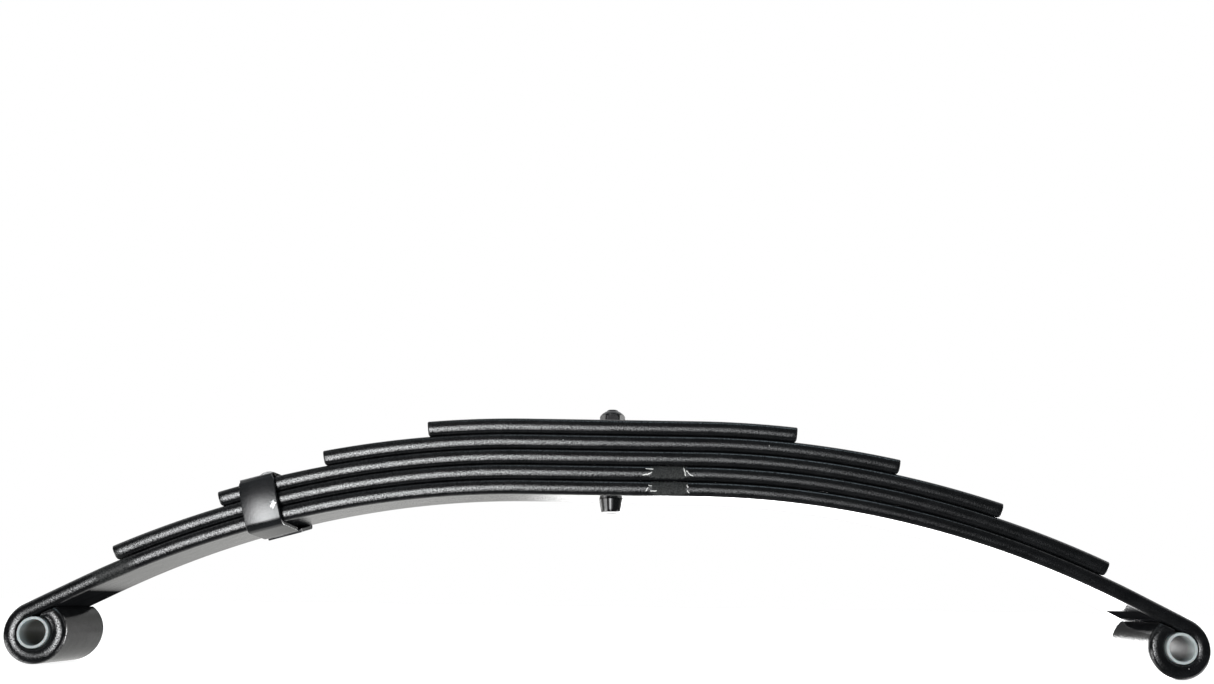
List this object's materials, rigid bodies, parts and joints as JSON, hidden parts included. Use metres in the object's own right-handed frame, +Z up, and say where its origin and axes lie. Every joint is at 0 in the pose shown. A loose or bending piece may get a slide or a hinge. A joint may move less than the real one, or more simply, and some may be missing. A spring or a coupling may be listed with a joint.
{
  "type": "leaf spring",
  "caption": "Double-eye trailer leaf spring: stacked arched leaves on a centre bolt, rolled eyes with nylon bushes and a riveted rebound clip.",
  "frame": {"origin": "on the centre bolt's axis, at the flat underside of the main leaf", "axes": "+X along the leaves towards the plain end, away from the rebound clip, +Y across the leaves, +Z up, out of the top of the arch"},
  "size_m": [0.6762, 0.0516, 0.1526],
  "materials": {
    "leaf_steel": "gloss black paint over rolled spring steel",
    "fastener_steel": "gloss black paint over turned steel",
    "clip_steel": "satin black paint over flat strap",
    "bush_nylon": "natural nylon"
  },
  "bodies": {
    "clamped_centre": {"main_leaf": "leaf_steel", "second_leaf": "leaf_steel", "third_leaf": "leaf_steel", "fourth_leaf": "leaf_steel", "fifth_leaf": "leaf_steel", "centre_bolt": "fastener_steel", "centre_nut": "fastener_steel"},
    "left_eye": {"left_eye_bush": "bush_nylon"},
    "right_eye": {"right_eye_bush": "bush_nylon"},
    "clip": {"rebound_clip": "clip_steel", "clip_rivet": "clip_steel"}
  },
  "joints": [
    {"name": "left_flex", "type": "hinge", "parent": "clamped_centre", "child": "left_eye", "pos_m": [-0.1085, 0, 0.00113], "axis": [0, 1, 0], "range_deg": [-2, 14], "stiffness_Nm_per_rad": 6560, "deforming": ["main_leaf", "second_leaf", "third_leaf", "fourth_leaf", "fifth_leaf"]},
    {"name": "right_flex", "type": "hinge", "parent": "clamped_centre", "child": "right_eye", "pos_m": [0.1085, 0, 0.00113], "axis": [0, -1, 0], "range_deg": [-2, 14], "deforming": ["main_leaf", "second_leaf", "third_leaf", "fourth_leaf", "fifth_leaf"]},
    {"name": "clip_tilt", "type": "hinge", "parent": "clamped_centre", "child": "clip", "pos_m": [-0.14765, 0, -0.00271], "axis": [0, 1, 0], "range_deg": [-2.6, 17]}
  ],
  "couplings": [
    {"joint": "right_flex", "follows": "left_flex", "ratio": 1},
    {"joint": "clip_tilt", "follows": "left_flex", "ratio": 1.19}
  ]
}
